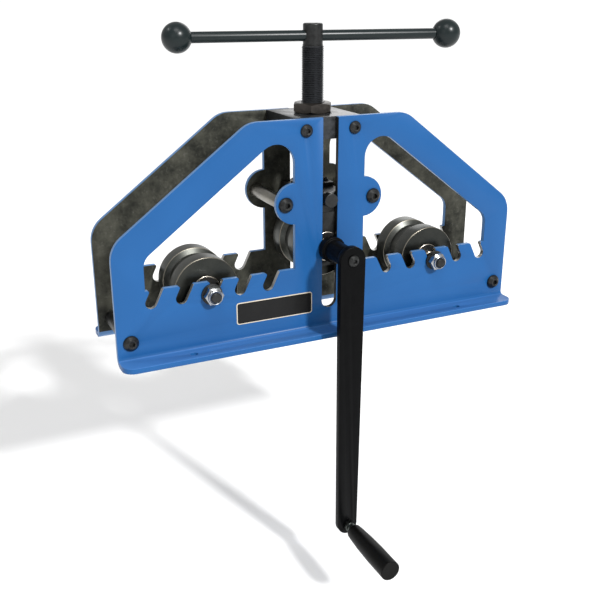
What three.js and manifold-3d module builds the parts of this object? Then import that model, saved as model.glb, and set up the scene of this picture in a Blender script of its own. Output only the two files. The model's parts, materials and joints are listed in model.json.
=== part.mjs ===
// A hand-cranked three-roll bender for reinforcing bar and round bar.
// Two mirrored side plates with feet carry a pair of idler rolls in open slots. A keyed centre roll
// turns with the crank, in a carriage that a press screw drives down the plates' centre slots.
// Millimetres. +X runs along the plates, -Y is the crank side, +Z is up. The origin lies on the screw's
// axis, midway between the plates, in the plane of the feet's undersides.
import * as THREE from "three";
import { mergeVertices } from "three/addons/utils/BufferGeometryUtils.js";
import Module from "manifold-3d";

const wasm = await Module();
wasm.setup();

const GAP = 0.3; // kept between pieces that touch
const SAG = 0.12; // how far an arc's facets may fall inside the true arc

// Side plates
const PLATE = {
  length: 508,
  height: 250,
  shoulder: 132, // height where the outer edge turns inwards
  topHalf: 97,
  thick: 6,
  inner: 40, // inner face, from the middle plane
  shoulderRadius: 32,
  topRadius: 30,
};
const OUTER = PLATE.inner + PLATE.thick;
const FLANGE = {
  width: 26,
  cornerRadius: 13,
  bendRadius: 4,
  holeX: 173.5,
  holeY: -60.5,
  holeRadius: 4.3,
};
const STRUT = 34; // width left between the outer edge and the window
const COLUMN_HALF = 43.8; // half the width of the solid middle column
const LAND = 81; // height of the window's lower edge, between the slots
const WINDOW = { topRadius: 22.5, outerRadius: 18, toothRadius: 2 };
const CENTRE_SLOT = { half: 9.6, bottom: 28 };
const EAR = { z: 157, radius: 23.2 };

// Open slots that hold the idler axles
const SEAT = { firstX: 77.5, pitch: 34.125, count: 5, used: 2, z: 66.8, radius: 6.7, lean: 26 };
const LEAN = THREE.MathUtils.degToRad(SEAT.lean);
const AXLE_X = SEAT.firstX + SEAT.used * SEAT.pitch;

// Button head screws: shank radius, head radius and height, across-flats of the socket
const M10 = { shank: 5, head: 8.75, height: 5.5, flats: 6, length: 24 };
const M8 = { shank: 4, head: 7.3, height: 4.4, flats: 5, length: 24 };
const PLAY = 0.45; // between a shank and its hole
const TIE = { radius: 7.5, bore: M10.shank + PLAY };
const EAR_BOLT = { x: 55.5, z: EAR.z };
const CORNER_BOLT = { x: 239, z: 25 };
const BRIDGE = { half: 40, height: 25, boltX: 30, boltZ: 237 };

// Press screw, its nut and its cross handle
const SCREW = {
  radius: 12.7,
  headRadius: 11.1,
  headBottom: 323.2,
  top: 347,
  shoulder: 170.2, // where the full diameter ends, just above the retainer
  neckRadius: 7,
  tipRadius: 9.5,
};
const SCREW_BORE = SCREW.radius + 0.5;
const LOCK_NUT = { flats: 41, height: 11 };
const BAR = { radius: 6, z: 333.5, left: -151.8, right: 162.5, turn: -8.3, into: 10 };
const BAR_TURN = THREE.MathUtils.degToRad(BAR.turn);
const KNOB = { radius: 16.3 };

// Carriage
const CARRIAGE = { half: 22, top: 165, seam: 142, bottom: 78, cheekInner: 30.9, end: 39.7 };
const POCKET = { radius: 10, depth: 6.5 };
const RETAINER = { half: 21.7, depth: 13, thick: 4.5, screwX: 17.3 };
const M5 = { shank: 2.5, head: 3.9, height: 2.6, flats: 3, length: 12 };
const GUIDE = { z: 157, head: 8.2, height: 10, shank: 5, length: 20 };
const SHAFT_BEARING = { outer: 17.5, width: 8 };

// Rolls
const ROLL = {
  radius: 37.5,
  half: 30.5,
  grooveHalf: 12, // half width of the groove at the rims
  floorHalf: 8.5, // and at its floor
  floorRadius: 31,
  chamfer: 1,
};
const ROLL_BEARING = { outer: 16, width: 10 };
const ROLL_CORE = 12; // bore between the two bearings of an idler roll

// Idler axles
const AXLE = { radius: 6, bore: 6.4, headFlats: 18, headHeight: 7.5, end: 63.5 };
const WASHER = { radius: 12, thick: 2.4 };
const AXLE_NUT = { flats: 19, height: 8.4, collar: 8.4, top: 11.6 };
const SPACER_RADIUS = 9;

// Drive shaft, crank and handle
const SHAFT = { z: 101, radius: 8.5, bore: 8.9, rear: 45, screwDepth: 20 };
const KEY = { width: 5, half: 26, low: 5.6, high: 10.6 };
const HUB = { flange: 15, flangeEnd: 57, radius: 12, start: OUTER + 1.2 };
const ARM = { rear: 94, thick: 9, reach: 340, topRadius: 15.7, endRadius: 12.6 };
const ARM_FRONT = ARM.rear + ARM.thick;
const ARM_SCREW = { shank: 4, head: 6.6, height: 3.6, flats: 5, length: 26 };
const STUD = { radius: 4.8, rear: 92.5, end: 193 };
const GRIP = { start: 118, end: 204, bore: 5.2, bottom: 195, neck: 8.5, full: 12 };

const paint = (color, roughness, metalness) =>
  new THREE.MeshStandardMaterial({ color, roughness, metalness });
const BLUE_PAINT = paint(0x2f6db8, 0.42, 0);
const BLACK_STEEL = paint(0x26282b, 0.5, 0.7);
const BLACK_PAINT = paint(0x17181a, 0.4, 0);
const BRIGHT_STEEL = paint(0xb4b1a8, 0.32, 1);
const ZINC = paint(0xc3c8cc, 0.28, 1);
const ROLL_STEEL = paint(0x34373a, 0.38, 0.8);
const KNOB_BLACK = paint(0x1f252b, 0.3, 0);
const GRIP_BLACK = paint(0x141414, 0.5, 0);

// ---- geometry helpers ----

// A closed shape through corners [x, y, radius], each one rounded by an arc of its radius.
function outline(corners) {
  const points = [];
  const add = (point) => {
    if (!points.length || points.at(-1).distanceTo(point) > 0.01) points.push(point);
  };
  corners.forEach(([x, y, radius = 0], i) => {
    const corner = new THREE.Vector2(x, y);
    if (radius === 0) {
      add(corner);
      return;
    }
    const [fromX, fromY] = corners.at(i - 1);
    const [toX, toY] = corners[(i + 1) % corners.length];
    const back = new THREE.Vector2(fromX - x, fromY - y).normalize();
    const ahead = new THREE.Vector2(toX - x, toY - y).normalize();
    const half = Math.acos(back.dot(ahead)) / 2;
    const centre = back.clone().add(ahead).normalize();
    centre.multiplyScalar(radius / Math.sin(half)).add(corner);
    const start = back.clone().multiplyScalar(radius / Math.tan(half)).add(corner).sub(centre);
    const turn = Math.PI - 2 * half;
    const steps = Math.ceil(turn / (2 * Math.acos(1 - SAG / radius)));
    const way = -Math.sign(back.cross(ahead));
    for (let k = 0; k <= steps; k++) {
      const angle = start.angle() + (way * turn * k) / steps;
      add(new THREE.Vector2(Math.cos(angle), Math.sin(angle)).multiplyScalar(radius).add(centre));
    }
  });
  return new THREE.Shape(points);
}

// A shape drawn in X and Z, extruded from y0 to y1.
function prism(shape, y0, y1) {
  return new THREE.ExtrudeGeometry(shape, { depth: y1 - y0, bevelEnabled: false })
    .rotateX(Math.PI / 2)
    .translate(0, y1, 0);
}

// A shape drawn in X and Y, extruded from z0 to z1.
function slab(shape, z0, z1) {
  return new THREE.ExtrudeGeometry(shape, { depth: z1 - z0, bevelEnabled: false }).translate(0, 0, z0);
}

function box(x0, x1, y0, y1, z0, z1) {
  return new THREE.BoxGeometry(x1 - x0, y1 - y0, z1 - z0).translate(
    (x0 + x1) / 2,
    (y0 + y1) / 2,
    (z0 + z1) / 2,
  );
}

// A round or polygonal rod along Y, from y0 to y1, through the point (x, z).
function rod(radius, y0, y1, x = 0, z = 0, sides = 20) {
  return new THREE.CylinderGeometry(radius, radius, y1 - y0, sides).translate(x, (y0 + y1) / 2, z);
}

// A profile of [radius, y] points turned about the Y axis.
function turned(profile, segments = 24) {
  const points = profile.map(([r, y]) => new THREE.Vector2(r, y));
  return new THREE.LatheGeometry(points, segments);
}

function tube(outer, inner, y0, y1, segments = 24) {
  const corners = [[inner, y0], [outer, y0], [outer, y1], [inner, y1], [inner, y0]];
  return turned(corners, segments);
}

const upright = (geometry) => geometry.rotateX(Math.PI / 2); // turns the Y axis up to +Z

const hexRadius = (flats) => flats / Math.sqrt(3);

function solid(geometry) {
  const bare = geometry.clone();
  bare.deleteAttribute("normal");
  bare.deleteAttribute("uv");
  const merged = mergeVertices(bare, 1e-4);
  return new wasm.Manifold(
    new wasm.Mesh({
      numProp: 3,
      vertProperties: merged.attributes.position.array,
      triVerts: new Uint32Array(merged.index.array),
    }),
  );
}

// A solid with a list of geometries added to it, then another list cut out of it.
function combine(base, added, cut) {
  const joined = added.reduce((whole, g) => whole.add(solid(g)), base);
  const result = cut.reduce((whole, g) => whole.subtract(solid(g)), joined).getMesh();
  return new THREE.BufferGeometry()
    .setAttribute("position", new THREE.BufferAttribute(result.vertProperties, 3))
    .setIndex(new THREE.BufferAttribute(result.triVerts, 1));
}

function piece(name, geometry, material) {
  const mesh = new THREE.Mesh(geometry, material);
  mesh.name = name;
  return mesh;
}

const SIDES = [["left", -1], ["right", 1]];
const ENDS = [["front", 0], ["rear", Math.PI]];

// Places a front part at an end: the rear ones are the front ones turned half round about Z.
function atEnd(mesh, turn, x, y, z) {
  mesh.rotation.z = turn;
  mesh.position.set(x, turn ? -y : y, z);
  return mesh;
}

// ---- side plates ----

const edge = new THREE.Vector2(
  PLATE.length / 2 - PLATE.topHalf,
  PLATE.shoulder - PLATE.height,
).normalize();

// Height at x of the window's sloping edge, which is the outer slope moved in by the strut's width.
function windowSlope(x) {
  return PLATE.height + ((x - PLATE.topHalf) * edge.y - STRUT) / edge.x;
}

// The plate's outer edge, with the centre slot open at the top.
function plateOutline() {
  const half = PLATE.length / 2;
  const { half: slot, bottom } = CENTRE_SLOT;
  return outline([
    [-half, 0],
    [half, 0],
    [half, PLATE.shoulder, PLATE.shoulderRadius],
    [PLATE.topHalf, PLATE.height, PLATE.topRadius],
    [slot, PLATE.height],
    [slot, bottom, slot],
    [-slot, bottom, slot],
    [-slot, PLATE.height],
    [-PLATE.topHalf, PLATE.height, PLATE.topRadius],
    [-half, PLATE.shoulder, PLATE.shoulderRadius],
  ]);
}

// One window, on the side given by its sign, with the row of leaning axle slots in its lower edge.
function windowOutline(side) {
  const { radius, z } = SEAT;
  const right = PLATE.length / 2 - STRUT;
  const along = [-Math.sin(LEAN) * radius, Math.cos(LEAN) * radius];
  const wall = radius / Math.cos(LEAN);
  const corners = [[COLUMN_HALF, LAND]];
  for (let k = 0; k < SEAT.count; k++) {
    const seat = SEAT.firstX + k * SEAT.pitch;
    const mouth = seat - (LAND - z) * Math.tan(LEAN);
    corners.push([mouth - wall, LAND, WINDOW.toothRadius]);
    corners.push([seat - along[0] - along[1], z - along[1] + along[0], radius]);
    corners.push([seat - along[0] + along[1], z - along[1] - along[0], radius]);
    corners.push([mouth + wall, LAND, WINDOW.toothRadius]);
  }
  corners.push([right, LAND]);
  corners.push([right, windowSlope(right), WINDOW.outerRadius]);
  corners.push([COLUMN_HALF, windowSlope(COLUMN_HALF), WINDOW.topRadius]);
  const placed = corners.map(([x, y, r]) => [side * x, y, r]);
  return outline(side > 0 ? placed : placed.reverse());
}

// The bent sheet: an upright wall and a foot turned outwards, as one L-shaped section along X.
function bentSheet() {
  const { width, bendRadius } = FLANGE;
  const section = outline([
    [-OUTER - width, 0],
    [-PLATE.inner, 0, bendRadius + PLATE.thick],
    [-PLATE.inner, PLATE.height],
    [-OUTER, PLATE.height],
    [-OUTER, PLATE.thick, bendRadius],
    [-OUTER - width, PLATE.thick],
  ]);
  return new THREE.ExtrudeGeometry(section, { depth: PLATE.length, bevelEnabled: false })
    .rotateX(Math.PI / 2)
    .rotateZ(Math.PI / 2)
    .translate(-PLATE.length / 2, 0, 0);
}

// What is cut off a free corner of the foot to round it.
function footCorner(side) {
  const r = FLANGE.cornerRadius;
  const x = (side * PLATE.length) / 2;
  const y = -OUTER - FLANGE.width;
  const corners = [
    [x + side, y - 1],
    [x + side, y + r],
    [x, y + r],
    [x, y, r],
    [x - side * r, y],
    [x - side * r, y - 1],
  ];
  return slab(outline(side > 0 ? corners : corners.reverse()), -1, PLATE.thick + 1);
}

// The front plate: the rear one is this one turned half round about Z.
function sidePlate() {
  const behind = 1 - PLATE.inner;
  const before = -OUTER - FLANGE.width - 1;
  const profile = solid(prism(plateOutline(), before, behind));
  const ears = [];
  const windows = [];
  const cuts = [];
  for (const [, side] of SIDES) {
    const hole = (radius, x, z) => rod(radius, -OUTER - 1, behind, side * x, z);
    windows.push(prism(windowOutline(side), -OUTER - 1, behind));
    ears.push(rod(EAR.radius, -OUTER, -PLATE.inner, side * COLUMN_HALF, EAR.z, 32));
    cuts.push(hole(M8.shank + PLAY, BRIDGE.boltX, BRIDGE.boltZ));
    cuts.push(hole(M10.shank + PLAY, CORNER_BOLT.x, CORNER_BOLT.z));
    cuts.push(hole(M10.shank + PLAY, EAR_BOLT.x, EAR_BOLT.z));
    cuts.push(footCorner(side));
    const foot = upright(rod(FLANGE.holeRadius, -1, PLATE.thick + 1));
    cuts.push(foot.translate(side * FLANGE.holeX, FLANGE.holeY, 0));
  }
  const sheet = solid(bentSheet()).intersect(profile);
  const opened = windows.reduce((whole, g) => whole.subtract(solid(g)), sheet);
  return combine(opened, ears, cuts);
}

// ---- fasteners and round parts ----

// A screw along +Y whose domed head stands on y = 0, with a hexagon socket.
function buttonScrew({ shank, head, height, flats, length }) {
  const profile = [
    [0, -height],
    [head * 0.6, -height],
    [head * 0.94, -height * 0.4],
    [head, 0],
    [shank, 0],
    [shank, length],
    [0, length],
  ];
  const socket = rod(hexRadius(flats), -height - 1, -height * 0.3, 0, 0, 6);
  return combine(solid(turned(profile, 16)), [], [socket]);
}

// A screw along +Y with a tall plain head, which is the guide that runs in the centre slot.
function guideScrew() {
  const { head, height, shank, length } = GUIDE;
  const profile = [
    [0, -height],
    [head - 1, -height],
    [head, 1 - height],
    [head, 0],
    [shank, 0],
    [shank, length],
    [0, length],
  ];
  return turned(profile);
}

function hexNut(flats, height, bore) {
  const body = solid(rod(hexRadius(flats), 0, height, 0, 0, 6));
  return combine(body, [], [rod(bore, -1, height + 1, 0, 0, 32)]);
}

// A roll turned from its outer profile, grooved in the middle, over a bore profile of [radius, y]
// points that runs from the middle plane to the end face.
function rollSolid(bore) {
  const { radius, half, grooveHalf, floorHalf, floorRadius, chamfer } = ROLL;
  const rim = [
    [floorRadius, floorHalf],
    [radius, grooveHalf],
    [radius, half - chamfer],
    [radius - chamfer, half],
  ];
  const mirrored = (points) => points.map(([r, y]) => [r, -y]);
  const loop = [...mirrored(rim).reverse(), ...rim, ...bore.toReversed(), ...mirrored(bore)];
  return solid(turned([...loop, loop[0]], 32));
}

// ---- frame ----

function bridgeBlock() {
  const { half, height, boltX, boltZ } = BRIDGE;
  const end = PLATE.inner - GAP;
  const block = box(-half, half, -end, end, PLATE.height - height, PLATE.height);
  const cuts = [upright(rod(SCREW_BORE, PLATE.height - height - 1, PLATE.height + 1, 0, 0, 32))];
  const reach = -OUTER + M8.length + 2;
  for (const x of [-boltX, boltX]) {
    cuts.push(rod(M8.shank + PLAY, -end - 1, reach, x, boltZ));
    cuts.push(rod(M8.shank + PLAY, -reach, end + 1, x, boltZ));
  }
  return combine(solid(block), [], cuts);
}

function buildFrame() {
  const frame = new THREE.Group();
  const plate = sidePlate();
  const face = -OUTER - GAP;
  for (const [end, turn] of ENDS) {
    frame.add(atEnd(piece(`${end}_side_plate`, plate, BLUE_PAINT), turn, 0, 0, 0));
    for (const [hand, side] of SIDES) {
      const add = (kind, size, x, z) => {
        const screw = piece(`${kind}_${end}_${hand}`, buttonScrew(size), BLACK_STEEL);
        frame.add(atEnd(screw, turn, side * x, face, z));
      };
      add("bridge_screw", M8, BRIDGE.boltX, BRIDGE.boltZ);
      add("ear_screw", M10, EAR_BOLT.x, EAR_BOLT.z);
      add("corner_screw", M10, CORNER_BOLT.x, CORNER_BOLT.z);
    }
  }
  frame.add(piece("bridge_block", bridgeBlock(), BLACK_PAINT));
  const bar = tube(TIE.radius, TIE.bore, GAP - PLATE.inner, PLATE.inner - GAP);
  for (const [hand, side] of SIDES) {
    const ear = piece(`ear_tie_bar_${hand}`, bar, BRIGHT_STEEL);
    ear.position.set(side * EAR_BOLT.x, 0, EAR_BOLT.z);
    const corner = piece(`corner_tie_bar_${hand}`, bar, BLACK_STEEL);
    corner.position.set(side * CORNER_BOLT.x, 0, CORNER_BOLT.z);
    frame.add(ear, corner);
  }
  const nut = upright(hexNut(LOCK_NUT.flats, LOCK_NUT.height, SCREW_BORE));
  nut.translate(0, 0, PLATE.height + GAP);
  frame.add(piece("screw_lock_nut", nut, BLACK_STEEL));
  return frame;
}

// ---- press screw and its cross handle ----

function buildScrew() {
  const group = new THREE.Group();
  const { radius, headRadius, headBottom, top, shoulder, neckRadius, tipRadius } = SCREW;
  const low = CARRIAGE.top - POCKET.depth + GAP;
  const tipTop = CARRIAGE.top - GAP;
  const profile = [
    [0, low],
    [tipRadius, low],
    [tipRadius, tipTop],
    [neckRadius, tipTop],
    [neckRadius, shoulder],
    [radius, shoulder],
    [radius, headBottom - 3],
    [radius - 1.4, headBottom - 3],
    [radius - 1.4, headBottom],
    [headRadius, headBottom],
    [headRadius, top - 1.2],
    [headRadius - 1.2, top],
    [0, top],
  ];
  const crossHole = new THREE.CylinderGeometry(BAR.radius + GAP, BAR.radius + GAP, 60, 24)
    .rotateZ(Math.PI / 2)
    .rotateZ(BAR_TURN)
    .translate(0, 0, BAR.z);
  const body = solid(upright(turned(profile, 28)));
  group.add(piece("press_screw", combine(body, [], [crossHole]), BLACK_STEEL));

  const handle = new THREE.Group();
  handle.position.z = BAR.z;
  handle.rotation.z = BAR_TURN;
  const { left, right, radius: barRadius, into } = BAR;
  const length = right - left - 2 * (KNOB.radius - into);
  const bar = new THREE.CylinderGeometry(barRadius, barRadius, length, 20).rotateZ(Math.PI / 2);
  bar.translate((left + right) / 2, 0, 0);
  handle.add(piece("tommy_bar", bar, KNOB_BLACK));
  for (const [hand, side] of SIDES) {
    const hole = new THREE.CylinderGeometry(barRadius + GAP, barRadius + GAP, 40, 24)
      .rotateZ(Math.PI / 2)
      .translate(-side * (20 + KNOB.radius - into - GAP), 0, 0);
    const ball = solid(new THREE.SphereGeometry(KNOB.radius, 18, 12).rotateX(Math.PI / 2));
    const knob = piece(`ball_knob_${hand}`, combine(ball, [], [hole]), KNOB_BLACK);
    knob.position.x = side < 0 ? left : right;
    handle.add(knob);
  }
  group.add(handle);
  return group;
}

// ---- carriage ----

function crosshead() {
  const { half, seam, top, end } = CARRIAGE;
  const body = box(-half, half, -end, end, seam, top);
  const cuts = [upright(rod(POCKET.radius, top - POCKET.depth, top + 1, 0, 0, 28))];
  for (const side of [-1, 1]) {
    const inner = end - GUIDE.length - 2;
    const y0 = side < 0 ? -end - 1 : inner;
    cuts.push(rod(GUIDE.shank + PLAY, y0, y0 + GUIDE.length + 3, 0, GUIDE.z));
    const tapped = upright(rod(M5.shank + PLAY, top - M5.length, top + 1));
    cuts.push(tapped.translate(side * RETAINER.screwX, 0, 0));
  }
  return combine(solid(body), [], cuts);
}

function cheek() {
  const { half, seam, bottom, cheekInner, end } = CARRIAGE;
  const plate = outline([
    [-half, bottom, 8],
    [half, bottom, 8],
    [half, seam - GAP],
    [-half, seam - GAP],
  ]);
  const seat = rod(SHAFT_BEARING.outer + GAP, -end - 1, 1 - cheekInner, 0, SHAFT.z, 32);
  return combine(solid(prism(plate, -end, -cheekInner)), [], [seat]);
}

// The horseshoe that holds the screw's tip down in its pocket, open towards the rear.
function retainer() {
  const { half, depth, thick, screwX } = RETAINER;
  const slot = SCREW.neckRadius + 0.4;
  const shape = outline([
    [-half, -depth],
    [half, -depth],
    [half, depth],
    [slot, depth],
    [slot, -slot, slot],
    [-slot, -slot, slot],
    [-slot, depth],
    [-half, depth],
  ]);
  const holes = [-screwX, screwX].map((x) =>
    upright(rod(M5.shank + PLAY, -1, thick + 1)).translate(x, 0, 0),
  );
  return combine(solid(slab(shape, 0, thick)), [], holes);
}

function buildCarriage() {
  const group = new THREE.Group();
  const { top, cheekInner, end } = CARRIAGE;
  group.add(piece("crosshead", crosshead(), BLACK_STEEL));
  const { outer, width } = SHAFT_BEARING;
  const outside = (cheekInner + end + width) / 2;
  const race = tube(outer, SHAFT.radius + GAP, -outside, width - outside, 28);
  for (const [name, turn] of ENDS) {
    group.add(atEnd(piece(`${name}_cheek`, cheek(), BLACK_STEEL), turn, 0, 0, 0));
    group.add(atEnd(piece(`shaft_bearing_${name}`, race, BRIGHT_STEEL), turn, 0, 0, SHAFT.z));
    const guide = piece(`guide_screw_${name}`, guideScrew(), BLACK_STEEL);
    group.add(atEnd(guide, turn, 0, -end - GAP, GUIDE.z));
  }
  const plate = piece("screw_retainer", retainer(), BLACK_STEEL);
  plate.position.z = top + GAP;
  group.add(plate);
  for (const [hand, side] of SIDES) {
    const screw = piece(`retainer_screw_${hand}`, buttonScrew(M5), BLACK_STEEL);
    screw.rotation.x = -Math.PI / 2;
    screw.position.set(side * RETAINER.screwX, 0, top + RETAINER.thick + 2 * GAP);
    group.add(screw);
  }
  return group;
}

// ---- drive shaft, centre roll, crank and grip ----

function driveShaft() {
  const body = solid(rod(SHAFT.radius, -ARM.rear + GAP, SHAFT.rear, 0, 0, 28));
  const w = KEY.width / 2 + GAP;
  const keyway = box(-w, w, -KEY.half - GAP, KEY.half + GAP, KEY.low - GAP, SHAFT.radius + 1);
  const tapped = rod(ARM_SCREW.shank + PLAY, -ARM.rear - 1, SHAFT.screwDepth - ARM.rear, 0, 0);
  return combine(body, [], [keyway, tapped]);
}

function centreRoll() {
  const body = rollSolid([[SHAFT.bore, 0], [SHAFT.bore, ROLL.half]]);
  const w = KEY.width / 2 + GAP;
  const keyway = box(-w, w, -ROLL.half - 1, ROLL.half + 1, 0, KEY.high + GAP);
  const core = rod(SHAFT.bore - 1, -ROLL.half - 1, ROLL.half + 1, 0, 0);
  return combine(body, [], [combine(solid(keyway), [], [core])]);
}

function hub() {
  const { flange, flangeEnd, radius, start } = HUB;
  const bore = SHAFT.radius + GAP;
  const loop = [
    [bore, GAP - ARM.rear],
    [radius, GAP - ARM.rear],
    [radius, -flangeEnd],
    [flange, -flangeEnd],
    [flange, -start],
    [bore, -start],
    [bore, GAP - ARM.rear],
  ];
  return turned(loop, 28);
}

function crankArm() {
  const { topRadius: top, endRadius: low, reach, rear } = ARM;
  const shape = outline([
    [-low, -reach - low, low],
    [low, -reach - low, low],
    [top, top, top - 0.3],
    [-top, top, top - 0.3],
  ]);
  const holes = [
    rod(ARM_SCREW.shank + PLAY, -ARM_FRONT - 1, 1 - rear),
    rod(STUD.radius + GAP, -ARM_FRONT - 1, 1 - rear, 0, -reach),
  ];
  return combine(solid(prism(shape, -ARM_FRONT, -rear)), [], holes);
}

function grip() {
  const { start, end, bore, bottom, neck, full } = GRIP;
  const loop = [
    [0, -end],
    [full * 0.55, -end],
    [full * 0.88, 2.5 - end],
    [full, 7 - end],
    [full, -start - 34],
    [full * 0.93, -start - 20],
    [neck + 0.6, -start - 7],
    [neck, -start - 1],
    [neck - 1, -start],
    [bore, -start],
    [bore, -bottom],
    [0, -bottom],
  ];
  return turned(loop, 28);
}

function buildCrank() {
  const group = new THREE.Group();
  group.position.z = SHAFT.z;
  const w = KEY.width / 2;
  group.add(piece("drive_shaft", driveShaft(), BRIGHT_STEEL));
  group.add(piece("roll_key", box(-w, w, -KEY.half, KEY.half, KEY.low, KEY.high), BRIGHT_STEEL));
  group.add(piece("centre_roll", centreRoll(), ROLL_STEEL));
  group.add(piece("crank_hub", hub(), BLACK_PAINT));
  group.add(piece("crank_arm", crankArm(), BLACK_PAINT));
  const screw = piece("arm_screw", buttonScrew(ARM_SCREW), BLACK_STEEL);
  screw.position.y = -ARM_FRONT - GAP;
  const stud = piece("handle_stud", rod(STUD.radius, -STUD.end, -STUD.rear, 0, 0), ZINC);
  stud.position.z = -ARM.reach;
  const handle = piece("handle_grip", grip(), GRIP_BLACK);
  handle.position.z = -ARM.reach;
  group.add(screw, stud, handle);
  return group;
}

// ---- idler rolls and their axles ----

function axleBolt() {
  const head = OUTER + WASHER.thick + 2 * GAP;
  const shank = solid(rod(AXLE.radius, -AXLE.end, head + 1, 0, 0, 24));
  const hexagon = rod(hexRadius(AXLE.headFlats), head, head + AXLE.headHeight, 0, 0, 6);
  return combine(shank, [hexagon], []);
}

// A self-locking nut along -Y from y = 0: a hexagon with a round collar.
function lockingNut() {
  const { flats, height, collar, top } = AXLE_NUT;
  const hexagon = solid(rod(hexRadius(flats), -height, 0, 0, 0, 6));
  const bore = rod(AXLE.radius + GAP, -top - 1, 1, 0, 0, 24);
  return combine(hexagon, [rod(collar, -top, 1 - height, 0, 0, 24)], [bore]);
}

function buildIdler(hand, x) {
  const group = new THREE.Group();
  group.position.set(x, 0, SEAT.z);
  const add = (name, geometry, material) => {
    const mesh = piece(`${hand}_${name}`, geometry, material);
    group.add(mesh);
    return mesh;
  };
  const { outer, width } = ROLL_BEARING;
  const seat = ROLL.half - width - GAP;
  const body = rollSolid([
    [ROLL_CORE, 0],
    [ROLL_CORE, seat],
    [outer + GAP, seat],
    [outer + GAP, ROLL.half],
  ]);
  add("roll", combine(body, [], []), ROLL_STEEL);
  add("axle_bolt", axleBolt(), BLACK_STEEL);
  const nutFace = -OUTER - WASHER.thick - 2 * GAP;
  add("axle_nut", lockingNut(), ZINC).position.y = nutFace;
  const race = tube(outer, AXLE.radius + GAP, -ROLL.half, width - ROLL.half, 28);
  const washer = tube(WASHER.radius, AXLE.bore, -OUTER - GAP - WASHER.thick, -OUTER - GAP);
  const spacer = tube(SPACER_RADIUS, AXLE.bore, GAP - PLATE.inner, -ROLL.half - GAP);
  for (const [end, turn] of ENDS) {
    atEnd(add(`bearing_${end}`, race, BRIGHT_STEEL), turn, 0, 0, 0);
    atEnd(add(`washer_${end}`, washer, BLACK_STEEL), turn, 0, 0, 0);
    atEnd(add(`spacer_${end}`, spacer, BRIGHT_STEEL), turn, 0, 0, 0);
  }
  return group;
}

const root = new THREE.Group();
root.add(buildFrame(), buildScrew(), buildCarriage(), buildCrank());
root.add(...SIDES.map(([hand, side]) => buildIdler(hand, side * AXLE_X)));
export default root;
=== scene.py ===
# The hand-cranked roll bender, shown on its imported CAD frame. Every length below is in millimetres
# until mesh_object() turns it into metres.
import json
import math

import bmesh
import bpy
from mathutils import Euler, Matrix, Vector


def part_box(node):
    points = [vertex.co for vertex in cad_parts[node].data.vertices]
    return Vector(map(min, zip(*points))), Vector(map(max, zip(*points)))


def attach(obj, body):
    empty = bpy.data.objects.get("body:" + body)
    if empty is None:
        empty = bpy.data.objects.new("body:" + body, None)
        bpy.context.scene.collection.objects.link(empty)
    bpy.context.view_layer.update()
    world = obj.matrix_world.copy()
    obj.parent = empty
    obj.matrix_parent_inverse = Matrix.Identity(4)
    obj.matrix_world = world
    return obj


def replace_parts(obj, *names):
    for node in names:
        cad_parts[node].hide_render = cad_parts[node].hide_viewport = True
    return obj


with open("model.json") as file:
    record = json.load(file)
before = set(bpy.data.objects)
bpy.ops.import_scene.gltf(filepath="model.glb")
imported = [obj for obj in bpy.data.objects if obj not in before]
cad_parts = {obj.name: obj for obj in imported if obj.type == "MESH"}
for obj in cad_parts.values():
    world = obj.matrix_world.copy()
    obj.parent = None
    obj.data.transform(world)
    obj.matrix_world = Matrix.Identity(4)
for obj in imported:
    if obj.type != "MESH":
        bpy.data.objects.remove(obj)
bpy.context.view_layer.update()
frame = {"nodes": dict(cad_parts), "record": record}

MM = 0.001
SIDES = (("left", -1), ("right", 1))
ENDS = (("front", 1), ("rear", -1))

# Driving dimensions, the same as the CAD's
PLATE_OUTER = 46.0
PLATE_INNER = 40.0
GAP = 0.3
CARRIAGE_END = 39.7
AXLE_X = 145.75
AXLE_Z = 66.8
ROLL_RADIUS = 37.5
ROLL_HALF = 30.5
SHAFT_Z = 101.0
CRANK_REACH = 340.0
BAR_Z = 333.5
BAR_TURN = math.radians(-8.3)
BAR_ENDS = {"left": -151.8, "right": 162.5}
KNOB_RADIUS = 16.3
ARM_FRONT = 103.0
GUIDE_Z = 157.0
SEAT_TOP = 80.6  # the axle slots' walls are bare below this height
SLOT_HALF = 11.0  # and the centre slot's walls within this distance of the middle
TIE = dict(radius=7.5, bore=5.45)
BRIDGE_BOLT = (30.0, 237.0)
EAR_BOLT = (55.5, 157.0)
CORNER_BOLT = (239.0, 25.0)
RETAINER_SCREW_X = 17.3
LOCK_NUT = dict(flats=41.0, face=19.8, bore=13.2, mouth=14.0)
AXLE_NUT = dict(flats=19.0, bore=6.3)
WASHER_THICK = 2.4

# ---------------------------------------------------------------- materials


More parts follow.
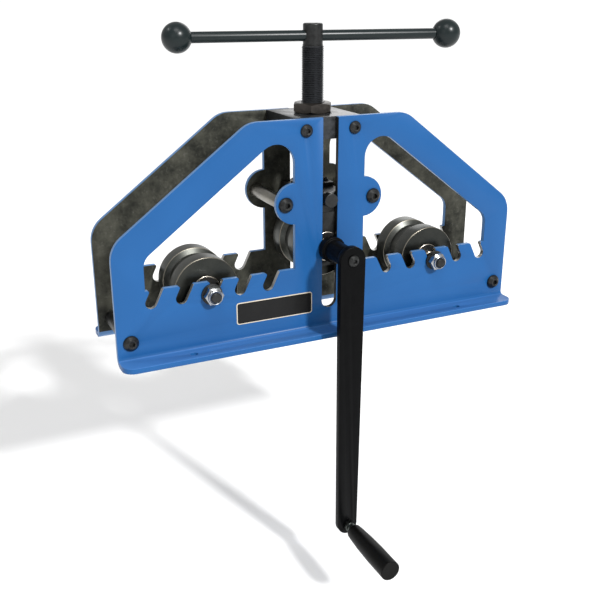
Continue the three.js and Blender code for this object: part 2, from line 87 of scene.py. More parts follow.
class Graph:
    """A material's node graph, with a short way to add and link nodes."""

    def __init__(self, name):
        self.material = bpy.data.materials.new(name)
        self.material.use_nodes = True
        self.tree = self.material.node_tree
        self.shader = self.tree.nodes["Principled BSDF"]
        self.place = self.add("ShaderNodeTexCoord").outputs["Object"]

    def add(self, kind, **settings):
        node = self.tree.nodes.new(kind)
        for key, value in settings.items():
            setattr(node, key, value)
        return node

    def link(self, source, target):
        self.tree.links.new(source, target)

    def noise(self, scale, detail=4.0, roughness=0.5):
        """Noise over the object's own coordinates, scale in features for each metre."""
        node = self.add("ShaderNodeTexNoise")
        node.inputs["Scale"].default_value = scale
        node.inputs["Detail"].default_value = detail
        node.inputs["Roughness"].default_value = roughness
        self.link(self.place, node.inputs["Vector"])
        return node.outputs["Fac"]

    def ramp(self, value, low, high, start, end):
        """Maps a value from one range to another, clamped."""
        node = self.add("ShaderNodeMapRange", clamp=True)
        for key, number in zip(("From Min", "From Max", "To Min", "To Max"), (low, high, start, end)):
            node.inputs[key].default_value = number
        self.link(value, node.inputs["Value"])
        return node.outputs["Result"]

    def maths(self, operation, *values):
        node = self.add("ShaderNodeMath", operation=operation)
        for socket, value in zip(node.inputs, values):
            if isinstance(value, (int, float)):
                socket.default_value = value
            else:
                self.link(value, socket)
        return node.outputs["Value"]

    def mix(self, factor, first, second):
        """A colour mix of two colours, each a tuple or a socket."""
        node = self.add("ShaderNodeMix", data_type="RGBA")
        if isinstance(factor, float):
            node.inputs["Factor"].default_value = factor
        else:
            self.link(factor, node.inputs["Factor"])
        for key, value in ((6, first), (7, second)):
            if isinstance(value, tuple):
                node.inputs[key].default_value = (*value, 1.0)
            else:
                self.link(value, node.inputs[key])
        return node.outputs[2]

    def bump(self, height, distance, strength=1.0):
        node = self.add("ShaderNodeBump")
        node.inputs["Strength"].default_value = strength
        node.inputs["Distance"].default_value = distance * MM
        self.link(height, node.inputs["Height"])
        self.link(node.outputs["Normal"], self.shader.inputs["Normal"])

    def set(self, **sockets):
        """Numbers and colours set on the shader, or sockets linked to it."""
        for key, value in sockets.items():
            socket = self.shader.inputs[key.replace("_", " ")]
            if isinstance(value, bpy.types.NodeSocket):
                self.link(value, socket)
            elif isinstance(value, tuple):
                socket.default_value = (*value, 1.0)
            else:
                socket.default_value = value


def worn_finish(name, dark, light, roughness, metallic, grain, bump=0.0, specular=0.5, spread=0.05):
    """A finish whose colour, gloss and surface vary a little, as handled metal and plastic do."""
    g = Graph(name)
    broad = g.noise(grain * 0.12, 5.0, 0.55)
    fine = g.noise(grain, 6.0, 0.6)
    shade = g.maths("MULTIPLY_ADD", fine, 0.5, g.maths("MULTIPLY", broad, 0.5))
    g.set(
        Base_Color=g.mix(g.ramp(shade, 0.35, 0.65, 0.0, 1.0), dark, light),
        Roughness=g.ramp(shade, 0.3, 0.7, roughness - spread, roughness + spread),
        Metallic=metallic,
        Specular_IOR_Level=specular,
    )
    if bump:
        g.bump(fine, bump)
    return g.material


def between(g, value, low, high):
    """1 where the value lies between two lengths in millimetres, and 0 elsewhere."""
    above = g.maths("GREATER_THAN", value, low * MM)
    return g.maths("MULTIPLY", above, g.maths("LESS_THAN", value, high * MM))


def plate_paint():
    """Blue powder coat outside; scaled steel inside, and bare steel where the slots were cut."""
    g = Graph("blue_paint")
    broad = g.noise(9.0, 3.0, 0.5)
    peel = g.noise(900.0, 2.0, 0.5)
    blue = g.mix(g.ramp(broad, 0.3, 0.7, 0.0, 1.0), (0.0088, 0.073, 0.222), (0.0108, 0.083, 0.246))
    scale = g.noise(38.0, 9.0, 0.68)
    flecks = g.noise(230.0, 6.0, 0.7)
    steel = g.mix(g.ramp(scale, 0.36, 0.62, 0.0, 1.0), (0.015, 0.016, 0.013), (0.064, 0.064, 0.051))
    steel = g.mix(g.ramp(flecks, 0.56, 0.74, 0.0, 0.5), steel, (0.13, 0.128, 0.112))
    split = g.add("ShaderNodeSeparateXYZ")
    g.link(g.place, split.inputs["Vector"])
    across = g.maths("ABSOLUTE", split.outputs["X"])
    depth = g.maths("ABSOLUTE", split.outputs["Y"])
    height = split.outputs["Z"]
    inside = g.maths("LESS_THAN", depth, (PLATE_INNER + 0.15) * MM)
    thickness = between(g, depth, PLATE_INNER + 0.15, PLATE_OUTER - 0.35)
    seats = g.maths("MULTIPLY", between(g, across, 60.0, 235.0), between(g, height, 50.0, SEAT_TOP))
    slot = g.maths("MULTIPLY", between(g, across, 0.0, SLOT_HALF), between(g, height, 15.0, 249.0))
    seats = g.maths("MULTIPLY", seats, thickness)
    slot = g.maths("MULTIPLY", slot, thickness)
    bare = g.maths("MAXIMUM", seats, slot)
    worn = g.mix(slot, g.mix(scale, (0.34, 0.34, 0.33), (0.66, 0.65, 0.62)), (0.11, 0.11, 0.105))
    # Painted highlight: the cut edge faces are mixed half way to a light blue, standing in for the light
    # they catch.
    blue = g.mix(g.maths("MULTIPLY", thickness, 0.5), blue, (0.14, 0.27, 0.48))
    # Painted highlight: the top face of the bent foot is painted a lighter blue, standing in for the light
    # falling on it.
    foot_top_highlight = g.maths("GREATER_THAN", depth, (PLATE_OUTER + 0.6) * MM)
    foot_top_highlight = g.maths("MULTIPLY", foot_top_highlight, between(g, height, 5.5, 7.0))
    blue = g.mix(foot_top_highlight, blue, (0.034, 0.122, 0.325))
    colour = g.mix(inside, blue, steel)
    g.set(
        Base_Color=g.mix(bare, colour, worn),
        Roughness=g.maths("MULTIPLY_ADD", inside, 0.16, g.ramp(broad, 0.3, 0.7, 0.32, 0.40)),
        Metallic=g.maths("MAXIMUM", g.maths("MULTIPLY", inside, 0.5), bare),
        Specular_IOR_Level=0.22,
    )
    g.bump(g.maths("MULTIPLY_ADD", g.maths("MULTIPLY", inside, flecks), 2.0, peel), 0.03)
    return g.material


def roll_finish():
    """Blackened steel with the fine rings that turning leaves; a painted highlight brightens the rims and
    painted shade darkens the end faces.
    """
    g = Graph("roll_steel")
    rings = g.noise(1400.0, 3.0, 0.6)
    broad = g.noise(24.0, 6.0, 0.6)
    tint = g.mix(g.ramp(broad, 0.35, 0.65, 0.0, 1.0), (0.040, 0.044, 0.040), (0.094, 0.096, 0.084))
    colour = g.mix(g.ramp(rings, 0.4, 0.7, 0.0, 0.4), tint, (0.150, 0.148, 0.138))
    split = g.add("ShaderNodeSeparateXYZ")
    g.link(g.place, split.inputs["Vector"])
    across = g.maths("ABSOLUTE", split.outputs["X"])
    depth = g.maths("ABSOLUTE", split.outputs["Y"])
    # Painted highlight: a warm bright band at the roll radius, by the end faces and the groove edges,
    # standing in for the highlights the rims catch.
    rim_highlight_rings = []
    for x, z in ((AXLE_X, AXLE_Z), (0.0, SHAFT_Z)):
        off = g.maths("SUBTRACT", across, x * MM)
        up = g.maths("SUBTRACT", split.outputs["Z"], z * MM)
        square = g.maths("MULTIPLY_ADD", off, off, g.maths("MULTIPLY", up, up))
        rim_highlight_rings.append(between(g, g.maths("SQRT", square), ROLL_RADIUS - 0.75, ROLL_RADIUS + 0.5))
    ends = between(g, depth, ROLL_HALF - 1.1, ROLL_HALF + 0.5)
    edges = g.maths("MAXIMUM", ends, between(g, depth, 11.7, 12.5))
    rim = g.maths("MULTIPLY", g.maths("MAXIMUM", rim_highlight_rings[0], rim_highlight_rings[1]), edges)
    # Painted shade: the flat end faces are mixed 0.7 of the way to near black, standing in for how much
    # darker than the rims they look.
    face = between(g, depth, ROLL_HALF - 0.8, ROLL_HALF + 0.5)
    colour = g.mix(g.maths("MULTIPLY", face, 0.7), colour, (0.012, 0.014, 0.013))
    g.set(
        Base_Color=g.mix(g.maths("MULTIPLY", rim, 0.5), colour, (0.40, 0.36, 0.29)),
        Roughness=g.ramp(broad, 0.3, 0.7, 0.27, 0.38),
        Metallic=0.85,
    )
    g.bump(rings, 0.015)
    return g.material


FINISH = {
    "blue_paint": plate_paint(),
    "roll_steel": roll_finish(),
    "black_steel": worn_finish(
        "black_steel", (0.012, 0.0125, 0.0125), (0.034, 0.035, 0.035), 0.36, 0.7, 260.0, bump=0.012
    ),
    "nut_steel": worn_finish(
        "nut_steel", (0.022, 0.019, 0.017), (0.062, 0.054, 0.048), 0.38, 0.7, 260.0, bump=0.015
    ),
    "screw_steel": worn_finish(
        "screw_steel", (0.030, 0.032, 0.035), (0.056, 0.059, 0.064), 0.30, 0.7, 260.0, bump=0.005
    ),
    "tie_steel": worn_finish(
        "tie_steel", (0.15, 0.145, 0.13), (0.28, 0.265, 0.23), 0.30, 1.0, 260.0, bump=0.01
    ),
    "stud_steel": worn_finish(
        "stud_steel", (0.050, 0.060, 0.056), (0.130, 0.140, 0.134), 0.30, 1.0, 380.0, bump=0.006
    ),
    "black_paint": worn_finish(
        "black_paint", (0.0014, 0.0015, 0.0017), (0.0026, 0.0027, 0.0030), 0.36, 0.0, 500.0, bump=0.010,
        specular=0.06,
    ),
    "bright_steel": worn_finish(
        "bright_steel", (0.44, 0.40, 0.34), (0.68, 0.63, 0.55), 0.25, 1.0, 320.0, bump=0.008
    ),
    "zinc_plate": worn_finish(
        "zinc_plate", (0.30, 0.31, 0.32), (0.52, 0.53, 0.54), 0.24, 1.0, 380.0, bump=0.008
    ),
    "blued_steel": worn_finish(
        "blued_steel", (0.0045, 0.0090, 0.0096), (0.0058, 0.0112, 0.0120), 0.31, 0.0, 120.0,
        specular=0.30, spread=0.02,
    ),
    "grip_plastic": worn_finish(
        "grip_plastic", (0.0016, 0.0016, 0.0015), (0.0030, 0.0030, 0.0028), 0.38, 0.0, 900.0, bump=0.02,
        specular=0.10,
    ),
    "seal_rubber": worn_finish(
        "seal_rubber", (0.006, 0.006, 0.006), (0.012, 0.012, 0.012), 0.50, 0.0, 700.0, bump=0.015,
        specular=0.2,
    ),
    "nylon": worn_finish(
        "nylon", (0.10, 0.14, 0.22), (0.16, 0.20, 0.30), 0.45, 0.0, 700.0, bump=0.01
    ),
    "label": worn_finish(
        "label", (0.004, 0.004, 0.004), (0.007, 0.007, 0.007), 0.33, 0.0, 400.0, specular=0.2
    ),
    "label_edge": worn_finish(
        "label_edge", (0.50, 0.44, 0.34), (0.60, 0.53, 0.43), 0.35, 0.0, 400.0
    ),
}

# ---------------------------------------------------------------- mesh helpers


def smooth(mesh, angle=32.0):
    """Smooth shading, split at edges sharper than the angle."""
    b = bmesh.new()
    b.from_mesh(mesh)
    bmesh.ops.remove_doubles(b, verts=b.verts, dist=1e-6)
    bmesh.ops.dissolve_degenerate(b, edges=b.edges, dist=1e-6)
    bmesh.ops.recalc_face_normals(b, faces=b.faces)
    for face in b.faces:
        face.smooth = True
    for edge in b.edges:
        edge.smooth = edge.calc_face_angle(0.0) < math.radians(angle)
    b.to_mesh(mesh)
    b.free()


def mesh_object(name, points, faces, body, finish, place=Matrix()):
    """A piece from points in millimetres, placed by a matrix, riding on a body."""
    mesh = bpy.data.meshes.new(name)
    mesh.from_pydata([(place @ Vector(p)) * MM for p in points], [], faces)
    mesh.validate()
    smooth(mesh)
    mesh.materials.append(FINISH[finish])
    piece = bpy.data.objects.new(name, mesh)
    bpy.context.scene.collection.objects.link(piece)
    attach(piece, body)
    return piece


CHAMFER_START = 0.985  # of a hexagon's half width, where its end chamfer begins
CHAMFER_ANGLE = math.radians(30)


def round_ring(radius, y):
    return lambda angle: (radius, y)


def hex_ring(flats, y, crown=0.0):
    """A hexagon across its flats; crown moves its corners along +Y (+1) or -Y (-1), as a chamfer does."""

    def ring(angle):
        radius = flats / 2 / math.cos(angle % (math.pi / 3) - math.pi / 6)
        cut = max(0.0, radius - flats / 2 * CHAMFER_START) * math.tan(CHAMFER_ANGLE)
        return radius, y + crown * cut

    return ring


def ringed(name, rings, body, finish, place=Matrix(), segments=96, closed=False):
    """A piece whose rings lie about the Y axis. Its ends are capped unless the rings close."""
    points, faces = [], []
    for ring in rings:
        for k in range(segments):
            angle = 2 * math.pi * k / segments
            radius, y = ring(angle)
            points.append((radius * math.cos(angle), y, radius * math.sin(angle)))
    rows = len(rings)
    for i in range(rows if closed else rows - 1):
        low, high = i * segments, (i + 1) % rows * segments
        for k in range(segments):
            after = (k + 1) % segments
            faces.append((low + k, low + after, high + after, high + k))
    if not closed:
        faces.append(tuple(range(segments)))
        faces.append(tuple(range((rows - 1) * segments, rows * segments)))
    return mesh_object(name, points, faces, body, finish, place)


def eased(profile, closed=False):
    """A profile of [radius, y, easing] corners, each corner with an easing rounded by that radius."""
    points = []
    count = len(profile)
    for i, corner in enumerate(profile):
        here = Vector(corner[:2])
        easing = corner[2] if len(corner) > 2 else 0.0
        if easing == 0.0 or (not closed and i in (0, count - 1)):
            points.append(here)
            continue
        back = Vector(profile[i - 1][:2]) - here
        ahead = Vector(profile[(i + 1) % count][:2]) - here
        half = back.angle(ahead) / 2
        reach = min(easing / math.tan(half), back.length * 0.49, ahead.length * 0.49)
        radius = reach * math.tan(half)
        centre = here + (back.normalized() + ahead.normalized()).normalized() * (
            radius / math.sin(half)
        )
        start = here + back.normalized() * reach - centre
        end = here + ahead.normalized() * reach - centre
        steps = max(2, math.ceil((math.pi - 2 * half) / math.radians(15)))
        for k in range(steps + 1):
            mixed = start.lerp(end, k / steps)
            points.append(centre + mixed.normalized() * radius if mixed.length > 1e-9 else here)
    return points


def turned(name, profile, body, finish, place=Matrix(), segments=96, closed=False):
    rings = [round_ring(p[0], p[1]) for p in eased(profile, closed)]
    return ringed(name, rings, body, finish, place, segments, closed)


def at(x=0.0, y=0.0, z=0.0, turn=0.0):
    """Places a part made about the Y axis: turned about Z, then moved."""
    return Matrix.Translation((x, y, z)) @ Matrix.Rotation(turn, 4, "Z")


def at_end(sign, x, y, z):
    """A front part's place (sign 1), or the same part half round at the rear (sign -1)."""
    return at(x, sign * y, z, 0.0 if sign > 0 else math.pi)


UPRIGHT = Matrix.Rotation(math.pi / 2, 4, "X")  # the part's Y axis becomes +Z


# ---------------------------------------------------------------- CAD nodes kept, with eased edges

EASED_NODES = {
    "front_side_plate": 0.55,
    "rear_side_plate": 0.55,
    "bridge_block": 0.8,
    "crosshead": 0.6,
    "front_cheek": 0.6,
    "rear_cheek": 0.6,
    "screw_retainer": 0.4,
    "crank_arm": 0.7,
    "roll_key": 0.2,
}
KEPT_FINISH = {m["node"]: m["material_slot"] for m in frame["record"]["subparts"]}
KEPT_FINISH["bridge_block"] = "screw_steel"

for node, width in EASED_NODES.items():
    piece = frame["nodes"][node]
    piece.data.materials.clear()
    piece.data.materials.append(FINISH[KEPT_FINISH[node]])
    weld = piece.modifiers.new("weld", "WELD")
    weld.merge_threshold = 1e-5
    flat = piece.modifiers.new("flat", "DECIMATE")
    flat.decimate_type = "DISSOLVE"
    flat.angle_limit = math.radians(0.5)
    bevel = piece.modifiers.new("bevel", "BEVEL")
    bevel.width = width * MM
    bevel.segments = 2
    bevel.limit_method = "ANGLE"
    bevel.angle_limit = math.radians(40)
    bevel.harden_normals = True
    for polygon in piece.data.polygons:
        polygon.use_smooth = True

# ---------------------------------------------------------------- fasteners


def button_screw(node, body, place, shank, head, height, flats, length, finish="black_steel"):
    """A domed screw with a hexagon socket, its head standing on y = 0 and its shank along +Y."""
    dome = [
        round_ring(head * math.cos(a), -height * (0.08 + 0.92 * math.sin(a)))
        for a in (math.radians(d) for d in (0, 8, 18, 30, 42, 52))
    ]
    flat_y = -height
    socket_y = flat_y + height * 0.68
    rings = [
        hex_ring(flats, socket_y),
        hex_ring(flats, flat_y + 0.25),
        round_ring(flats * 0.62, flat_y),
        round_ring(head * 0.56, flat_y),
        *reversed(dome[:-1]),
        round_ring(head * 0.985, -0.05),
        round_ring(head * 0.9, 0.0),
        round_ring(shank, 0.0),
        round_ring(shank, length - 0.8),
        round_ring(shank - 0.8, length),
    ]
    piece = ringed(node, rings, body, finish, place, 72)
    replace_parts(piece, node)
    return piece


M10 = dict(shank=5.0, head=8.75, height=5.5, flats=6.0, length=24.0)
M8 = dict(shank=4.0, head=7.3, height=4.4, flats=5.0, length=24.0)
M5 = dict(shank=2.5, head=3.9, height=2.6, flats=3.0, length=12.0)
ARM_SCREW = dict(shank=4.0, head=6.6, height=3.6, flats=5.0, length=26.0)

for end, sign in ENDS:
    for hand, side in SIDES:
        face = -PLATE_OUTER - GAP
        for kind, size, (x, z) in (
            ("bridge", M8, BRIDGE_BOLT),
            ("ear", M10, EAR_BOLT),
            ("corner", M10, CORNER_BOLT),
        ):
            name = f"{kind}_screw_{end}_{hand}"
            button_screw(name, "frame", at_end(sign, side * x, face, z), **size)

for hand, side in SIDES:
    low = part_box(f"retainer_screw_{hand}")[0][2] / MM
    head = low + M5["length"]
    place = Matrix.Translation((side * RETAINER_SCREW_X, 0, head)) @ Matrix.Rotation(-math.pi / 2, 4, "X")
    button_screw(f"retainer_screw_{hand}", "carriage", place, **M5)

arm_place = at(0, -ARM_FRONT - GAP, SHAFT_Z)
button_screw("arm_screw", "crank", arm_place, finish="black_steel", **ARM_SCREW)

for end, sign in ENDS:
    name = f"guide_screw_{end}"
    pin = [(0.01, -10.0), (8.2, -10.0, 0.9), (8.2, 0.0, 0.3), (5.0, 0.0), (5.0, 19.9, 0.8), (0.01, 19.9)]
    guide = turned(name, pin, "carriage", "black_steel", at_end(sign, 0, -CARRIAGE_END - GAP, GUIDE_Z), 72)
    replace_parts(guide, name)

# Tie bars between the plates
for hand, side in SIDES:
    for kind, (x, z), finish in (
        ("ear", EAR_BOLT, "tie_steel"),
        ("corner", CORNER_BOLT, "black_steel"),
    ):
        reach = PLATE_INNER - GAP
        bore, radius = TIE["bore"], TIE["radius"]
        loop = [(bore, -reach), (radius, -reach, 0.6), (radius, reach, 0.6), (bore, reach)]
        name = f"{kind}_tie_bar_{hand}"
        bar = turned(name, loop, "frame", finish, at(side * x, 0, z), 64, closed=True)
        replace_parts(bar, name)

# Lock nut on the press screw
low, high = (c[2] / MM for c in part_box("screw_lock_nut"))
nut_rings = [
    round_ring(LOCK_NUT["bore"], low + 0.8),
    round_ring(LOCK_NUT["mouth"], low),
    round_ring(LOCK_NUT["face"], low),
    hex_ring(LOCK_NUT["flats"], low, 1.0),
    hex_ring(LOCK_NUT["flats"], high, -1.0),
    round_ring(LOCK_NUT["face"], high),
    round_ring(LOCK_NUT["mouth"], high),
    round_ring(LOCK_NUT["bore"], high - 0.8),
]
nut = ringed("screw_lock_nut", nut_rings, "lock_nut", "nut_steel", UPRIGHT, 96, closed=True)
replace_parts(nut, "screw_lock_nut")

# ---------------------------------------------------------------- press screw

THREAD = dict(pitch=2.0, major=12.7, minor=11.55, low=171.0, high=322.6)


def threaded_rod():
    """The press screw's helical thread, as points and faces."""
    columns, steps = 72, 4
    pitch, low, high = THREAD["pitch"], THREAD["low"], THREAD["high"]
    middle = (THREAD["major"] + THREAD["minor"]) / 2
    radii = (THREAD["minor"], middle, THREAD["major"], middle)
    rows = math.ceil((high - low) / pitch + 1) * steps
    points, faces = [], []
    for j in range(columns):
        angle = 2 * math.pi * j / columns
        for k in range(-steps, rows + 1):
            z = low + pitch * (k / steps + j / columns)
            radius = radii[k % steps]
            if not low <= z <= high:
                z, radius = min(max(z, low), high), THREAD["minor"]
            points.append((radius * math.cos(angle), radius * math.sin(angle), z))
    stride = rows + steps + 1
    for j in range(columns):
        after = (j + 1) % columns
        shift = steps if after == 0 else 0
        for k in range(stride - 1 - shift):
            faces.append(
                (
                    j * stride + k,
                    after * stride + k + shift,
                    after * stride + k + 1 + shift,
                    j * stride + k + 1,
                )
            )
    return points, faces


points, faces = threaded_rod()
thread = mesh_object("press_screw_thread", points, faces, "screw", "screw_steel")
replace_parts(thread, "press_screw")
tip = [(0.0, 158.9), (9.5, 158.9, 0.6), (9.5, 164.6, 0.6), (7.0, 164.6), (7.0, 170.3),
       (11.0, 170.3, 0.4), (11.0, 172.5)]
turned("press_screw_tip", [(max(r, 0.01), *rest) for r, *rest in tip], "screw", "black_steel",
       UPRIGHT, 72)
head = [(11.0, 321.8), (11.0, 323.1), (11.6, 323.3, 0.2), (11.6, 323.9, 0.2), (11.1, 324.1),
        (11.1, 346.9, 2.0), (0.01, 346.9)]
turned("press_screw_head", head, "screw", "black_steel", UPRIGHT, 96)

# ---------------------------------------------------------------- cross handle

# The bar's own axis is Y in its helpers, so it is turned to run along +X, then by the handle's angle.
ALONG = Matrix.Translation((0, 0, BAR_Z)) @ Matrix.Rotation(BAR_TURN - math.pi / 2, 4, "Z")
bar = turned(
    "tommy_bar",
    [(0.01, BAR_ENDS["left"] + 4), (6.0, BAR_ENDS["left"] + 4, 0.5),
     (6.0, BAR_ENDS["right"] - 4, 0.5), (0.01, BAR_ENDS["right"] - 4)],
    "cross_handle", "blued_steel", ALONG, 64,
)
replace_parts(bar, "tommy_bar")
for hand, side in SIDES:
    rings = []
    for d in range(0, 153, 4):
        a = math.radians(d)
        rings.append((max(KNOB_RADIUS * math.sin(a), 0.01), side * KNOB_RADIUS * math.cos(a)))
    rings += [(7.2, -side * 14.75), (6.6, -side * 14.9), (6.05, -side * 14.6)]
    place = ALONG @ Matrix.Translation((0, BAR_ENDS[hand], 0))
    knob = ringed(f"ball_knob_{hand}", [round_ring(r, y) for r, y in rings], "cross_handle",
                  "blued_steel", place, 96)
    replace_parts(knob, f"ball_knob_{hand}")

# ---------------------------------------------------------------- rolls and bearings


def roll(node, body, x, z, bore):
    """A grooved roll: two wide rims, sloping groove walls and a flat floor."""
    outside = [(33.0, -30.5, 0.4), (36.9, -30.5, 0.9), (37.5, -29.6, 0.6), (37.5, -12.2, 0.8),
               (31.2, -8.7, 0.8), (31.2, 8.7, 0.8), (37.5, 12.2, 0.8), (37.5, 29.6, 0.6),
               (36.9, 30.5, 0.9), (33.0, 30.5, 0.4)]
    piece = turned(node, outside + bore, body, "roll_steel", at(x, 0, z), 128, closed=True)
    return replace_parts(piece, node)


def bearing(name, node, body, place, outer, land, seat, bore, width):
    """A sealed ball bearing whose outer face lies at y = 0: two rings and a seal between them."""
    race = turned(
        f"{name}_outer_race",
        [(land, 0.0, 0.3), (outer, 0.0, 0.7), (outer, width, 0.7), (land, width, 0.3)],
        body, "bright_steel", place, 96, closed=True,
    )
    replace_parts(race, node)
    turned(
        f"{name}_inner_race",
        [(bore, 0.0, 0.4), (seat, 0.0, 0.3), (seat, width, 0.3), (bore, width, 0.4)],
        body, "bright_steel", place, 96, closed=True,
    )
    turned(
        f"{name}_seal",
        [(seat + 0.02, 0.45), (seat + 0.6, 0.3, 0.2), (land - 0.6, 0.3, 0.2), (land - 0.02, 0.45),
         (land - 0.02, width - 0.45), (seat + 0.02, width - 0.45)],
        body, "seal_rubber", place, 96, closed=True,
    )


centre_bore = [(24.0, 30.5, 0.3), (24.0, 29.9), (13.0, 29.9), (13.0, 30.5, 0.3), (8.9, 30.5, 0.5),
               (8.9, -30.5, 0.5), (13.0, -30.5, 0.3), (13.0, -29.9), (24.0, -29.9), (24.0, -30.5, 0.3)]
roll("centre_roll", "crank", 0.0, SHAFT_Z, centre_bore)
for end, sign in ENDS:
    bearing(f"shaft_bearing_{end}", f"shaft_bearing_{end}", "carriage",
            at_end(sign, 0, -39.3, SHAFT_Z), 17.5, 16.1, 10.4, 8.8, 8.0)

for hand, side in SIDES:
    x, z = side * AXLE_X, AXLE_Z
    idler, axle = f"{hand}_idler", f"{hand}_axle"
    seat = [(16.3, 30.5, 0.5), (16.3, 20.2), (12.0, 20.2), (12.0, -20.2), (16.3, -20.2),
            (16.3, -30.5, 0.5)]
    roll(f"{hand}_roll", idler, x, z, seat)
    for end, sign in ENDS:
        bearing(f"{hand}_bearing_{end}", f"{hand}_bearing_{end}", idler,
                at_end(sign, x, -ROLL_HALF, z), 16.0, 14.5, 7.7, 6.3, 10.0)
        spacer = turned(f"{hand}_spacer_{end}",
                        [(6.4, -39.7, 0.3), (9.0, -39.7, 0.5), (9.0, -30.8, 0.5), (6.4, -30.8, 0.3)],
                        axle, "bright_steel", at_end(sign, x, 0, z), 72, closed=True)
        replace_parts(spacer, f"{hand}_spacer_{end}")
        washer = turned(f"{hand}_washer_{end}",
                        [(6.4, -48.7, 0.2), (12.0, -48.7, 0.4), (12.0, -46.3, 0.2), (6.4, -46.3, 0.2)],
                        axle, "black_steel", at_end(sign, x, 0, z), 72, closed=True)
        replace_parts(washer, f"{hand}_washer_{end}")
    face = -PLATE_OUTER - WASHER_THICK - 2 * GAP
    nut_profile = [
        round_ring(AXLE_NUT["bore"], face),
        round_ring(9.1, face),
        hex_ring(AXLE_NUT["flats"], face, -1.0),
        hex_ring(AXLE_NUT["flats"], face - 8.2, 1.0),
        round_ring(8.9, face - 8.5),
        round_ring(8.4, face - 8.8),
        round_ring(8.4, face - 10.6),
        round_ring(8.1, face - 11.2),
        round_ring(7.5, face - 11.5),
        round_ring(7.0, face - 11.3),
        round_ring(6.9, face - 10.2),
        round_ring(AXLE_NUT["bore"], face - 10.2),
    ]
    nut = ringed(f"{hand}_axle_nut", nut_profile, axle, "zinc_plate", at(x, 0, z), 96, closed=True)
    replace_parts(nut, f"{hand}_axle_nut")
    turned(f"{hand}_axle_nut_insert",
           [(6.1, face - 10.3), (6.85, face - 10.3), (6.85, face - 10.9, 0.3), (6.1, face - 10.9, 0.3)],
           axle, "nylon", at(x, 0, z), 72, closed=True)
    head_y = PLATE_OUTER + WASHER_THICK + 2 * GAP
    bolt = [
        round_ring(0.01, -63.4),
        round_ring(4.9, -63.4),
        round_ring(6.0, -62.2),
        round_ring(6.0, head_y),
        round_ring(8.6, head_y),
        round_ring(8.8, head_y + 0.3),
        hex_ring(18.0, head_y + 0.3),
        hex_ring(18.0, head_y + 7.4, -1.0),
        round_ring(8.6, head_y + 7.4),
        round_ring(0.01, head_y + 7.3),
    ]
    piece = ringed(f"{hand}_axle_bolt", bolt, axle, "black_steel", at(x, 0, z), 96)
    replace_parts(piece, f"{hand}_axle_bolt")

# ---------------------------------------------------------------- shaft, hub, crank and grip

shaft = turned(
    "drive_shaft",
    [(0.01, -93.7), (8.5, -93.7, 0.6), (8.5, 40.5), (8.0, 41.0), (8.0, 42.0), (8.5, 42.2),
     (8.5, 44.9, 1.0), (0.01, 44.9)],
    "crank", "bright_steel", at(0, 0, SHAFT_Z), 72,
)
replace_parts(shaft, "drive_shaft")
hub = turned(
    "crank_hub",
    [(8.8, -93.7), (11.3, -93.7, 0.4), (12.0, -92.8, 0.5), (12.0, -57.0, 1.0), (15.0, -57.0, 0.8),
     (15.0, -47.3, 0.8), (8.8, -47.3)],
    "crank", "black_paint", at(0, 0, SHAFT_Z), 96, closed=True,
)
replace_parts(hub, "crank_hub")
HANDLE = at(0, 0, SHAFT_Z - CRANK_REACH)
stud = turned(
    "handle_stud",
    [(0.01, -192.9), (4.8, -192.9, 0.5), (4.8, -111.0), (6.2, -110.6, 0.3), (6.2, -104.2, 0.4),
     (4.8, -103.6), (4.8, -92.7, 0.8), (0.01, -92.7)],
    "crank", "stud_steel", HANDLE, 72,
)
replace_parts(stud, "handle_stud")
grip = turned(
    "handle_grip",
    [(5.2, -118.1, 0.3), (9.1, -118.1, 2.2), (9.9, -126.0, 10.0), (11.2, -145.0, 30.0),
     (12.0, -170.0, 60.0), (12.0, -203.9, 2.4), (10.5, -203.9), (0.01, -203.4)],
    "grip", "grip_plastic", HANDLE, 96,
)
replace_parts(grip, "handle_grip")

# ---------------------------------------------------------------- blank label on the front plate


def rounded_panel(name, corners, radius, y0, y1, finish):
    """A thin panel in X and Z with rounded corners, between two depths."""
    outline = eased([(*c, radius) for c in corners], closed=True)
    count = len(outline)
    points = [(p[0], y, p[1]) for y in (y0, y1) for p in outline]
    faces = [tuple(range(count)), tuple(range(count, 2 * count))]
    faces += [(k, (k + 1) % count, (k + 1) % count + count, k + count) for k in range(count)]
    return mesh_object(name, points, faces, "frame", finish)


LABEL = ((-117.0, 25.0), (-22.5, 25.0), (-22.5, 51.0), (-117.0, 51.0))


def inset(corners, by):
    middle = sum((Vector(c) for c in corners), Vector((0, 0))) / 4
    return [
        (c[0] + by * math.copysign(1, middle[0] - c[0]), c[1] + by * math.copysign(1, middle[1] - c[1]))
        for c in corners
    ]


rounded_panel("label_border", LABEL, 3.0, -PLATE_OUTER - 0.30, -PLATE_OUTER - 0.02, "label_edge")
rounded_panel("label_face", inset(LABEL, 1.1), 2.2, -PLATE_OUTER - 0.42, -PLATE_OUTER - 0.1, "label")

# ---------------------------------------------------------------- floor, light and camera

scene = bpy.context.scene
scene.view_settings.view_transform = "Standard"


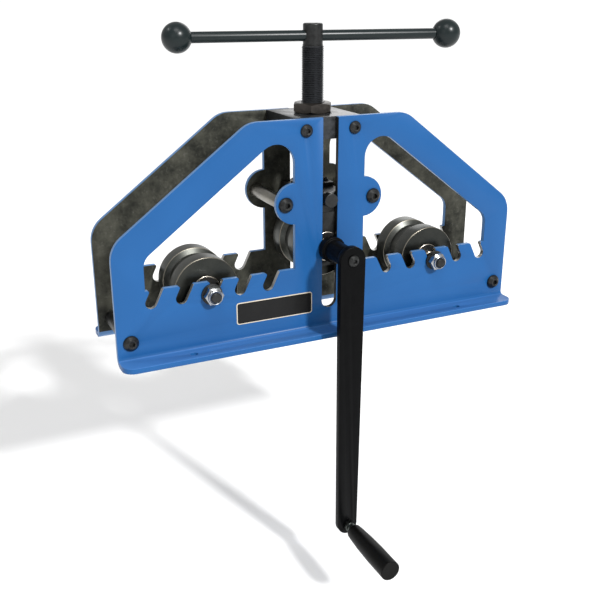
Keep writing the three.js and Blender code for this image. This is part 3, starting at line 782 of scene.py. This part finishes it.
def floor(height, size):
    mesh = bpy.data.meshes.new("floor")
    corners = [(-size, -size, height), (size, -size, height), (size, size, height), (-size, size, height)]
    mesh.from_pydata(corners, [], [(0, 1, 2, 3)])
    g = Graph("floor")
    g.set(
        Base_Color=g.mix(g.noise(3.0), (0.94, 0.94, 0.94), (0.96, 0.96, 0.96)),
        Roughness=0.75,
        Specular_IOR_Level=0.1,
    )
    mesh.materials.append(g.material)
    piece = bpy.data.objects.new("floor", mesh)
    scene.collection.objects.link(piece)


floor(-0.32, 60.0)


def area_light(name, place, target, size, power):
    light = bpy.data.lights.new(name, "AREA")
    light.shape = "DISK"
    light.size = size
    light.energy = power
    lamp = bpy.data.objects.new(name, light)
    lamp.location = place
    lamp.rotation_euler = (Vector(target) - Vector(place)).to_track_quat("-Z", "Y").to_euler()
    scene.collection.objects.link(lamp)


area_light("fill", (-1.6, -1.4, 1.0), (0, 0, 0.1), 1.2, 3.0)
area_light("rim", (-1.1, 0.5, 1.5), (0, 0, 0.1), 0.18, 3.0)
area_light("back", (1.2, 1.5, 0.9), (0, 0, 0.1), 1.4, 7.0)
area_light("top", (-0.4, -0.9, 2.0), (0, 0, 0.1), 1.0, 11.0)

sun = bpy.data.lights.new("sun", "SUN")
sun.energy = 3.6
sun.angle = math.radians(5)
lamp = bpy.data.objects.new("sun", sun)
lamp.rotation_euler = Vector((-0.25, 1.0, -0.68)).to_track_quat("-Z", "Y").to_euler()
scene.collection.objects.link(lamp)

# The world lights the object at one strength, and looks plain white behind it.
WORLD_LIGHT = 0.54
world = bpy.data.worlds.new("studio")
world.use_nodes = True
path = world.node_tree.nodes.new("ShaderNodeLightPath")
shown = world.node_tree.nodes.new("ShaderNodeMath")
shown.operation = "MULTIPLY_ADD"
shown.inputs[1].default_value = 1.0 - WORLD_LIGHT
shown.inputs[2].default_value = WORLD_LIGHT
background = world.node_tree.nodes["Background"]
background.inputs["Color"].default_value = (1.0, 1.0, 1.0, 1.0)
world.node_tree.links.new(path.outputs["Is Camera Ray"], shown.inputs[0])
world.node_tree.links.new(shown.outputs["Value"], background.inputs["Strength"])
scene.world = world

camera = bpy.data.cameras.new("camera")
camera.sensor_width = 36.0
camera.lens = 51.73
eye = bpy.data.objects.new("camera", camera)
eye.location = (-0.4451, -0.8928, 0.3851)
eye.rotation_euler = Euler((math.radians(90 - 20.02), 0.0, math.radians(-25.68)))
scene.collection.objects.link(eye)
scene.camera = eye
